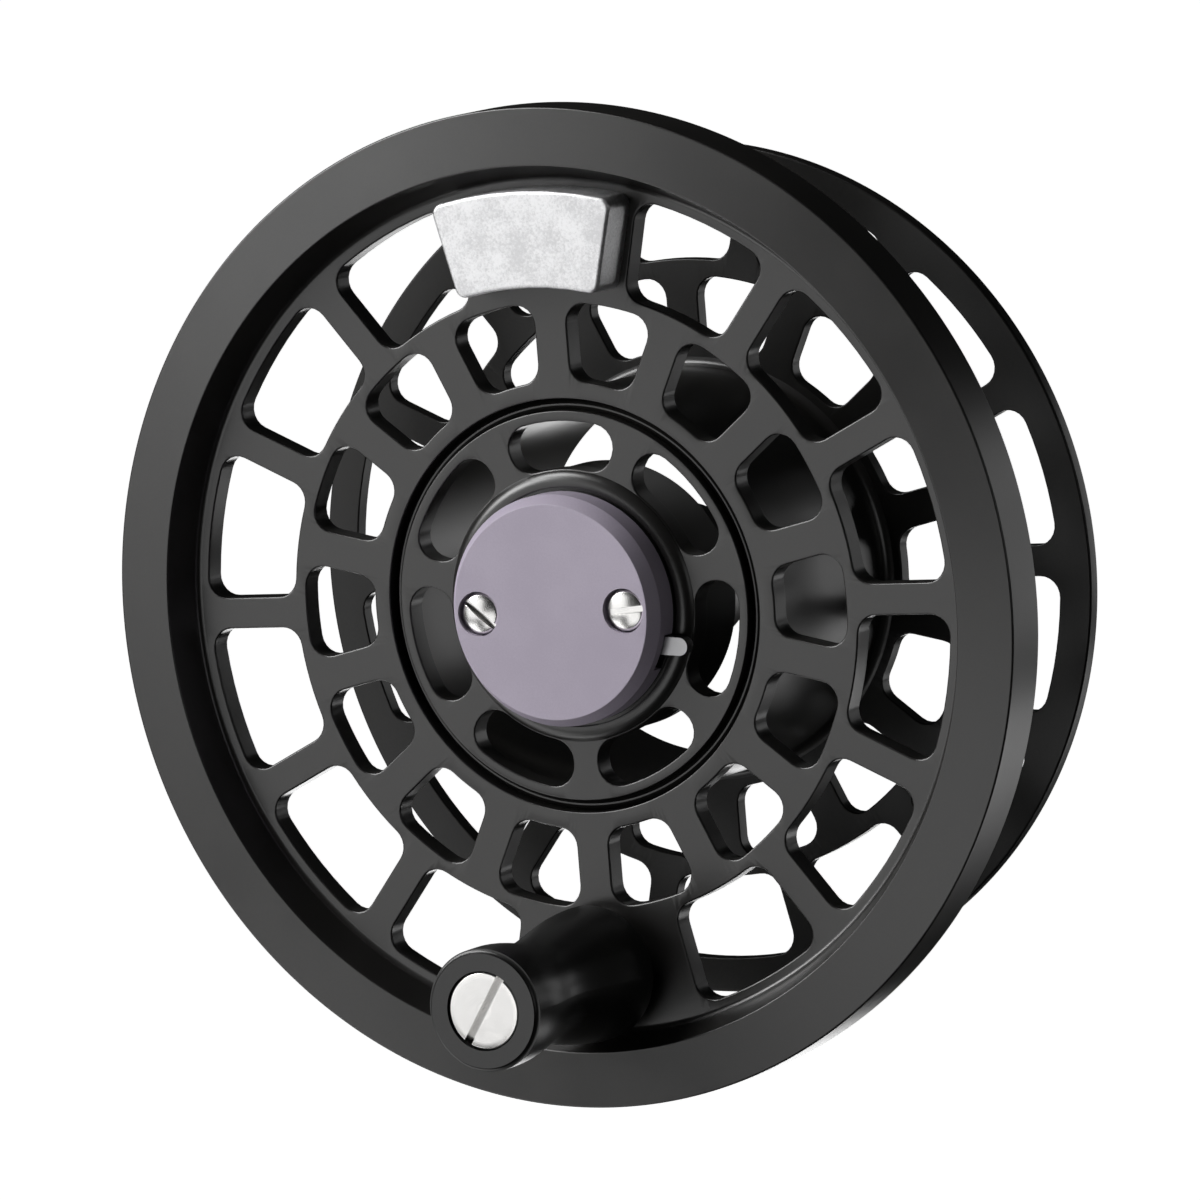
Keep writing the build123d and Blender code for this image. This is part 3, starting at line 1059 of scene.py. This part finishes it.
@dataclass
class Hub:
    """Windowed disc with rounded boss, rear cup and clutch tube. Sizes in mm."""

    disc_radius: float = 17.35
    front: float = -2.3
    boss_front: float = -2.95
    land: float = 11.0
    foot: float = 12.1
    groove: tuple[float, float, float] = (10.33, 10.65, -2.5)
    cup: tuple[float, float, float] = (10.7, 12.0, 5.9)
    tube: tuple[float, float] = (6.5, 19.9)
    bushing_bore: float = 4.0
    clutch_bore: float = 5.0
    clutch_front: float = 4.85
    ring: tuple[float, float, float] = (5.45, 17.85, 18.55)
    screw_offset: float = 7.25
    screw_hole: float = 1.05
    screw_depth: float = -0.2
    edge: float = 0.15
    windows: WindowRow = WindowRow(12.2, 16.45, 7, 2.5, 2.0, 90.0)

    def boss(self, steps: int = 12) -> list[tuple[float, float, float]]:
        """Rounded shoulder from the boss's flat face down to the disc.

        Args:
            steps: Stretches in the round.

        Returns:
            Corners with no radius.
        """
        width, fall = self.foot - self.land, self.front - self.boss_front
        radius = (width ** 2 + fall ** 2) / (2 * fall)
        whole = math.asin(width / radius)
        corners = []
        for k in range(steps + 1):
            turn = whole * k / steps
            drop = radius * (1 - math.cos(turn))
            corners.append((self.land + radius * math.sin(turn), self.boss_front + drop, 0))
        return corners

    def section(self) -> list[Point]:
        """Section of the whole hub.

        Returns:
            Outline points in metres.
        """
        groove_in, groove_out, groove_floor = self.groove
        cup_in, cup_out, cup_rear = self.cup
        ring, ring_front, ring_rear = self.ring
        top, radius, rear = self.boss_front, *self.tube
        return rounded([
            (self.bushing_bore, top, 0), (groove_in, top, 0.03), (groove_in, groove_floor, 0),
            (groove_out, groove_floor, 0), (groove_out, top, 0.06), *self.boss(),
            (self.disc_radius, self.front, 0.1), (self.disc_radius, 0, 0.05),
            (cup_out, 0, 0.3), (cup_out, cup_rear, 0.2), (cup_in, cup_rear, 0.2), (cup_in, 0, 0.1),
            (radius, 0, 0.3), (radius, rear, 0.2), (self.clutch_bore, rear, 0.2),
            (self.clutch_bore, ring_rear, 0), (ring, ring_rear, 0), (ring, ring_front, 0),
            (self.clutch_bore, ring_front, 0), (self.clutch_bore, self.clutch_front, 0),
            (self.bushing_bore, self.clutch_front, 0),
        ])

    def dress(self, finish: bpy.types.Material) -> None:
        """Turn the hub, cut its windows and put it in place.

        Args:
            finish: Its material.
        """
        hub = Maker.lathe("hub_disc", self.section())
        Maker.cut(hub, self.windows.cutter(self.front, 0, self.edge))
        for side in (-1, 1):
            hole = (side * self.screw_offset, 0.0)
            drill = Maker.disc("hole", self.screw_hole, self.boss_front - OVERRUN, self.screw_depth, hole)
            Maker.cut(hub, drill)
        settle(Maker.shade(hub), Body.SPOOL, "black_anodised", finish, "hub")


@dataclass
class Latch:
    """Cap over the spindle end and the lever that turns under it. Sizes in mm."""

    radius: float = 10.33
    front: float = -6.6
    foot: float = -2.95
    chamfer: tuple[float, float] = (1.25, 0.76)
    screw_offset: float = 7.25
    counterbore: tuple[float, float] = (2.0, 1.35)
    shank_hole: float = 1.3
    pivot: Point = (-7.25, 0.0)
    eye: float = 2.2
    neck: float = 0.8
    ring: float = 4.2
    ring_height: float = 0.275
    window: float = 3.1
    window_height: float = 0.55
    arm: float = 0.8
    root: Point = (1.4, -2.85)
    tip: Point = (11.3, -3.55)
    lever_front: float = -4.3
    lever_rear: float = -3.1
    swing: float = 4.5
    slack: float = 0.15
    spring: tuple[float, float, float, float] = (3.75, 5.45, -7.94, -3.5)
    spindle_room: tuple[float, float] = (3.3, -5.4)
    cap_edge: float = 0.07
    lever_edge: float = 0.42

    def lever(self, name: str, grow: float, swing: float, front: float, rear: float) -> bpy.types.Object:
        """Solid lever shape, grown and swung.

        Args:
            name: The object's name.
            grow: Distance that its outline is moved outwards.
            swing: Degrees that it is swung towards release.
            front: Station of its front face.
            rear: Station of its rear face.

        Returns:
            The object.
        """
        def swung(point: Point) -> Point:
            """Turn a point about the pivot."""
            x, z = turned(point[0] - self.pivot[0], point[1] - self.pivot[1], -math.radians(swing))
            return (self.pivot[0] + x, self.pivot[1] + z)

        middle = swung((0.0, self.ring_height))
        plate = Maker.disc(name, self.ring + grow, front, rear, middle)
        eye = Maker.disc("eye", self.eye + grow, front, rear, self.pivot)
        neck = Maker.capsule("neck", self.pivot, middle, (self.eye + grow) * self.neck, front, rear)
        arm = Maker.capsule("arm", swung(self.root), swung(self.tip), self.arm + grow, front, rear)
        for part in (eye, neck, arm):
            Maker.cut(plate, part, Cut.ONTO)
        return plate

    def build_cap(self) -> bpy.types.Object:
        """Turn the cap, counterbore it and hollow it for lever, spring and spindle.

        Returns:
            The cap.
        """
        cap = Maker.lathe("cap", rounded([
            (0, self.foot, 0), (self.radius, self.foot, 0.08),
            (self.radius, self.front + self.chamfer[0], 0.25),
            (self.radius - self.chamfer[1], self.front, 0.12), (0, self.front, 0),
        ]), around=288)
        bore, depth = self.counterbore
        past = self.foot + OVERRUN
        for side in (-1, 1):
            centre = (side * self.screw_offset, 0.0)
            Maker.cut(cap, Maker.disc("seat", bore, self.front - OVERRUN, self.front + depth, centre))
            Maker.cut(cap, Maker.disc("shank", self.shank_hole, self.front, past, centre))
        room_front = self.lever_front - self.slack
        for share in (0.0, 0.5, 1.0):
            Maker.cut(cap, self.lever("room", self.slack, self.swing * share, room_front, past))
        left, right, low, high = (place * MM for place in self.spring)
        corners = [(left, low), (right, low), (right, high), (left, high)]
        Maker.cut(cap, Maker.stack("spring", [(corners, room_front * MM), (corners, past * MM)]))
        Maker.cut(cap, Maker.disc("spindle", *self.spindle_room, past))
        return Maker.shade(Maker.bevel(cap, self.cap_edge, 2))

    def build_lever(self) -> bpy.types.Object:
        """Cut the lever from plate and round its edges.

        Returns:
            The lever.
        """
        lever = self.lever("lever", 0.0, 0.0, self.lever_front, self.lever_rear)
        ends = (self.lever_front - OVERRUN, self.lever_rear + OVERRUN)
        Maker.cut(lever, Maker.disc("hole", self.window, *ends, (0.0, self.window_height)))
        Maker.cut(lever, Maker.disc("eye", self.shank_hole, *ends, self.pivot))
        return Maker.shade(Maker.bevel(lever, self.lever_edge, 5))

    def dress(self, cap: bpy.types.Material, lever: bpy.types.Material) -> None:
        """Build cap and lever and put them in place.

        Args:
            cap: The cap's material.
            lever: The lever's material.
        """
        settle(self.build_cap(), Body.SPOOL, "grey_anodised", cap, "latch_cap")
        settle(self.build_lever(), Body.LATCH, "bright_steel", lever, "latch_lever")


@dataclass(frozen=True)
class SlottedScrew:
    """Turned screw with a slotted head. Sizes in mm, stations along Y."""

    centre: Point
    radius: float
    top: float
    seat: float
    dome: float
    edge: float
    slot: tuple[float, float, float]
    shank: tuple[tuple[float, float], ...]

    def build(self, name: str, around: int = 160) -> bpy.types.Object:
        """Turn the screw and cut its slot.

        Args:
            name: The object's name.
            around: Stretches round the axis.

        Returns:
            The screw.
        """
        flat, stretches = self.radius - self.edge, 8
        crown = []
        for k in range(stretches):
            sunk = self.dome * (k / stretches) ** 2 * (flat / self.radius) ** 2
            crown.append((flat * k / stretches, self.top + sunk, 0))
        corner = (self.radius, self.top + self.dome, self.edge * 0.9)
        shank = [(r, y, 0.0) for r, y in self.shank]
        end = (0.0, self.shank[-1][1], 0.0)
        section = rounded([*crown, corner, (self.radius, self.seat, 0.05), *shank, end], 5)
        centre = (self.centre[0] * MM, self.centre[1] * MM)
        screw = Maker.lathe(name, section, centre, around)
        width, depth, angle = self.slot
        along, across = self.radius * 1.5, width / 2
        corners = []
        for u, v in ((-along, -across), (along, -across), (along, across), (-along, across)):
            x, z = turned(u, v, math.radians(angle))
            corners.append(((self.centre[0] + x) * MM, (self.centre[1] + z) * MM))
        ends = ((self.top - OVERRUN) * MM, (self.top + depth) * MM)
        return Maker.cut(screw, Maker.stack("slot", [(corners, end) for end in ends]))


@dataclass
class Screws:
    """The three screws whose heads show on the front. Sizes in mm."""

    cap_screws: tuple[SlottedScrew, ...] = tuple(
        SlottedScrew((7.25 * side, 0.0), 1.85, -6.5, -5.25, 0.28, 0.38, (0.55, 0.6, angle),
                     ((1.25, -5.25), (1.25, -2.95), (1.0, -2.95), (1.0, -0.2)))
        for side, angle in ((-1, -42.0), (1, 5.0))
    )
    handle_screw: SlottedScrew = SlottedScrew(
        (0.0, -32.5), 3.38, -24.45, -23.35, 0.0, 0.16, (0.8, 0.9, 57.0), ((1.5, -23.35), (1.5, -14.35)))
    cap_screw_edge: float = 0.05
    handle_screw_edge: float = 0.04

    def dress(self, cap: bpy.types.Material, handle: bpy.types.Material) -> None:
        """Build the screws and put them in place.

        Args:
            cap: Material of the cap's two screws.
            handle: Material of the winding knob's screw.
        """
        pair = Maker.join("cap_screw_pair", [screw.build("cap_screw") for screw in self.cap_screws])
        Maker.shade(Maker.bevel(pair, self.cap_screw_edge, 2))
        settle(pair, Body.SPOOL, "bright_steel", cap, "cap_screws")
        screw = self.handle_screw.build("knob_screw")
        Maker.shade(Maker.bevel(screw, self.handle_screw_edge, 2))
        settle(screw, Body.SPOOL, "bright_steel", handle, "handle_screw")


@dataclass
class Counterweight:
    """Tumbled casting opposite the winding knob. Sizes in mm."""

    band: tuple[float, float] = (28.6, 37.3)
    half_angle: float = 14.1
    corner: float = 1.0
    front: float = -6.2
    rear: float = -2.3
    edge: float = 0.34
    draft: float = 0.05
    screw: tuple[float, float, float] = (4.6, 33.0, 1.25)
    screw_reach: float = -4.8
    foot_land: float = 0.1
    edge_steps: int = 6

    def dress(self, finish: bpy.types.Material) -> None:
        """Build the casting with its rounded front edge and put it in place.

        Args:
            finish: Its material.
        """
        shape = WindowRow(*self.band, 180.0 / self.half_angle, 0.0, self.corner, 90.0)
        levels = [(self.rear, 0.0), (self.rear - self.foot_land, 0.0)]
        for k in range(self.edge_steps + 1):
            angle = math.pi / 2 * k / self.edge_steps
            inset = self.draft + self.edge * (1 - math.cos(angle))
            levels.append((self.front + self.edge * (1 - math.sin(angle)), -inset))
        casting = Maker.stack("casting", [(shape.outline(0, grow), y * MM) for y, grow in levels])
        spread, height, radius = self.screw
        for side in (-1, 1):
            hole = Maker.disc("hole", radius, self.screw_reach, self.rear + OVERRUN, (side * spread, height))
            Maker.cut(casting, hole)
        settle(Maker.shade(casting), Body.SPOOL, "cast_alloy", finish, "counterweight")


@dataclass(frozen=True)
class Softbox:
    """Square soft light aimed at the spool: azimuth from the front and elevation in degrees."""

    name: str
    azimuth: float
    elevation: float
    radiance: float
    size: float = 0.30
    distance: float = 0.75

    def build(self) -> None:
        """Hang the light."""
        place = heading(self.azimuth, self.elevation) * self.distance
        data = bpy.data.lights.new(self.name, "AREA")
        data.shape = "SQUARE"
        data.size = self.size
        data.energy = self.radiance * math.pi * self.size ** 2
        light = bpy.data.objects.new(self.name, data)
        light.location = place
        light.rotation_euler = (-place).to_track_quat("-Z", "Y").to_euler()
        light.visible_camera = False
        bpy.context.scene.collection.objects.link(light)


@dataclass
class Studio:
    """Floor with its sweep, lights and camera. Lengths in metres, angles in degrees."""

    azimuth: float = 28.424
    elevation: float = 6.294
    roll: float = -4.627
    distance: float = 1.0
    lens: float = 340.61
    sensor: float = 36.0
    target: tuple[float, float, float] = (0.0032675, -0.0032557, 0.0006039)
    floor_drop: float = 0.30
    floor_reach: float = 4.0
    sweep: float = 2.0
    wall: float = 4.0
    floor_steps: int = 4
    sweep_steps: int = 8
    floor_around: int = 48
    pale: Colour = (0.9, 0.9, 0.9)
    white: Colour = (1.0, 1.0, 1.0)
    room_light: float = 0.01
    clip: tuple[float, float] = (0.05, 40.0)
    lights: tuple[Softbox, ...] = (
        Softbox("key", -52, 26, 10.4),
        Softbox("key_high", -56, 52, 9.0),
        Softbox("front_fill", -37, 3, 1.14, 0.44),
        Softbox("front_low", -8, -18, 1.15, 0.38),
        Softbox("left_low", -50, -30, 1.7),
        Softbox("side_low", -80, -28, 1.2),
        Softbox("left_under", -60, -55, 1.6),
        Softbox("back_left", -150, -28, 3.0),
        Softbox("back_right", 150, -28, 1.6),
        Softbox("back", 160, 0, 1.0),
        Softbox("right", 78, 8, 0.7),
    )

    def camera(self) -> None:
        """Place the camera on its line of sight."""
        back = heading(self.azimuth, self.elevation)
        right = Vector((*turned(1.0, 0.0, math.radians(self.azimuth)), 0.0))
        rise = back.cross(right)
        turn = Matrix((right, rise, back)).transposed() @ Matrix.Rotation(math.radians(self.roll), 3, "Z")
        data = bpy.data.cameras.new("camera")
        data.lens, data.sensor_width = self.lens, self.sensor
        data.clip_start, data.clip_end = self.clip
        camera = bpy.data.objects.new("camera", data)
        camera.matrix_world = Matrix.Translation(Vector(self.target) + back * self.distance) @ turn.to_4x4()
        bpy.context.scene.collection.objects.link(camera)
        bpy.context.scene.camera = camera

    def floor(self) -> None:
        """Lay a plain pale floor that sweeps up into a wall all round."""
        line = [(self.floor_reach * k / self.floor_steps, 0.0) for k in range(self.floor_steps + 1)]
        for k in range(1, self.sweep_steps + 1):
            c, s = turned(1.0, 0.0, math.pi / 2 * k / self.sweep_steps)
            line.append((self.floor_reach + self.sweep * s, self.sweep * (1 - c)))
        line.append((self.floor_reach + self.sweep, self.sweep + self.wall))
        around = self.floor_around
        verts, faces = [], []
        for k in range(around):
            c, s = turned(1.0, 0.0, 2 * math.pi * k / around)
            verts += [(r * c, r * s, z - self.floor_drop) for r, z in line]
            low, high = k * len(line), ((k + 1) % around) * len(line)
            faces += [(low + n, low + n + 1, high + n + 1, high + n) for n in range(len(line) - 1)]
        mesh = bpy.data.meshes.new("floor")
        mesh.from_pydata(verts, [], faces)
        floor = bpy.data.objects.new("floor", mesh)
        bpy.context.scene.collection.objects.link(floor)
        graph = Graph("pale_floor")
        mesh.materials.append(graph.finish(
            base_color=self.pale, roughness=0.9, emission_color=self.white, emission_strength=1.0))
        floor.visible_diffuse = floor.visible_glossy = floor.visible_shadow = False

    def world(self) -> None:
        """Give the room a very dim even light."""
        world = bpy.data.worlds.new("room")
        world.use_nodes = True
        shade = world.node_tree.nodes["Background"]
        shade.inputs["Color"].default_value = (*self.white, 1.0)
        shade.inputs["Strength"].default_value = self.room_light
        bpy.context.scene.world = world

    def build(self) -> None:
        """Set up the whole studio."""
        self.camera()
        self.floor()
        self.world()
        for light in self.lights:
            light.build()
        bpy.context.scene.view_settings.view_transform = "Standard"


@dataclass
class KeptNodes:
    """Frame nodes that keep their shape and get a finish only."""

    finishes: dict[str, bpy.types.Material]

    def dress(self) -> None:
        """Give every kept node its finish."""
        for node, finish in self.finishes.items():
            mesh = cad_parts[node].data
            if mesh.materials:
                for k in range(len(mesh.materials)):
                    mesh.materials[k] = finish
            else:
                mesh.materials.append(finish)
            LOG.info("%s: finish %s", node, finish.name)


@dataclass(frozen=True)
class Finishes:
    """Every finish on the spool, with the dyes and metals that they share, and the painted light on the drum
    and painted shade on the rear flange.
    """

    knob_centre: Point = (0.0, -32.5 * MM)
    black_dye: Colour = (0.016, 0.0152, 0.0142)
    black_deep: Colour = (0.011, 0.0105, 0.0100)
    # Painted light: paler colour inside this radius stands in for light falling on the drum's inner wall.
    painted_light_colour: Colour = (0.060, 0.057, 0.052)
    painted_light_radius: float = 17.2 * MM
    # Painted shade: darker copy of the black for the rear flange, standing in for the shade between the two
    # flanges.
    flange_painted_shade: Colour = (0.013, 0.0125, 0.0118)
    flange_painted_shade_deep: Colour = (0.009, 0.0087, 0.0083)
    violet_dye: Colour = (0.50, 0.448, 0.545)
    violet_deep: Colour = (0.455, 0.405, 0.50)
    lever_grey: Colour = (0.44, 0.44, 0.45)
    knob_dye: Colour = (0.008, 0.008, 0.0078)
    knob_worn: Colour = (0.012, 0.0118, 0.0113)
    natural: Colour = (0.75, 0.74, 0.70)
    natural_worn: Colour = (0.66, 0.64, 0.58)

    def black(self) -> bpy.types.Material:
        """Plate and hub."""
        return Anodised("black_anodised", self.black_dye, self.black_deep).make()

    def drum(self) -> bpy.types.Material:
        """Drum, with painted light: a paler colour on its inside stands in for light falling on its inner
        wall.
        """
        return Anodised("black_anodised_drum_painted_light", self.black_dye, self.black_deep, painted_light_colour=self.painted_light_colour,
                        painted_light_radius=self.painted_light_radius).make()

    def flange(self) -> bpy.types.Material:
        """Rear flange: painted shade, a darker copy of the plate's black standing in for the shade between
        the flanges, with a lower IOR.
        """
        return Anodised("black_anodised_flange_painted_shade", self.flange_painted_shade, self.flange_painted_shade_deep, ior=1.42).make()

    def violet(self) -> bpy.types.Material:
        """Cap."""
        return Anodised("violet_grey_anodised", self.violet_dye, self.violet_deep, 0.5, ior=1.5).make()

    def steel(self) -> bpy.types.Material:
        """Small bright steel pieces."""
        return TurnedSteel("bright_steel").make()

    def screw_steel(self) -> bpy.types.Material:
        """The knob's screw, with its rings about its own axis."""
        return TurnedSteel("turned_steel", centre=self.knob_centre).make()

    def lever_steel(self) -> bpy.types.Material:
        """The latch's lever, duller than the screws."""
        return TurnedSteel("lever_steel", self.lever_grey, 0.34).make()

    def knob(self) -> bpy.types.Material:
        """Winding knob."""
        return Moulded("knob_black", self.knob_dye, self.knob_worn, 0.34, centre=self.knob_centre,
                       ior=1.66).make()

    def acetal(self) -> bpy.types.Material:
        """Bushings and washer in the knob."""
        return Moulded("natural_acetal", self.natural, self.natural_worn).make()


def main() -> None:
    """Build every sub-assembly in order."""
    logging.basicConfig(level=logging.INFO, format="%(name)s %(message)s")
    finishes = Finishes()
    black, steel, white = finishes.black(), finishes.steel(), finishes.acetal()
    plastic = Moulded("black_acetal").make()
    bronze = Bronze("sintered_bronze").make()

    FrontPlate().dress(black)
    LineDrum().dress(finishes.drum(), finishes.flange())
    Hub().dress(black)
    Latch().dress(finishes.violet(), finishes.lever_steel())
    Screws().dress(steel, finishes.screw_steel())
    Counterweight().dress(Tumbled("tumbled_casting").make())
    KeptNodes({
        "latch_spring": steel,
        "front_bushing": bronze,
        "rear_bushing": bronze,
        "clutch_shell": steel,
        "clutch_cage": plastic,
        "clutch_rollers": steel,
        "retaining_ring": steel,
        "click_ring": plastic,
        "counterweight_screws": steel,
        "knob": finishes.knob(),
        "knob_bushings": white,
        "knob_washer": white,
        "handle_post": steel,
    }).dress()
    Studio().build()


if __name__ == "__main__":
    main()
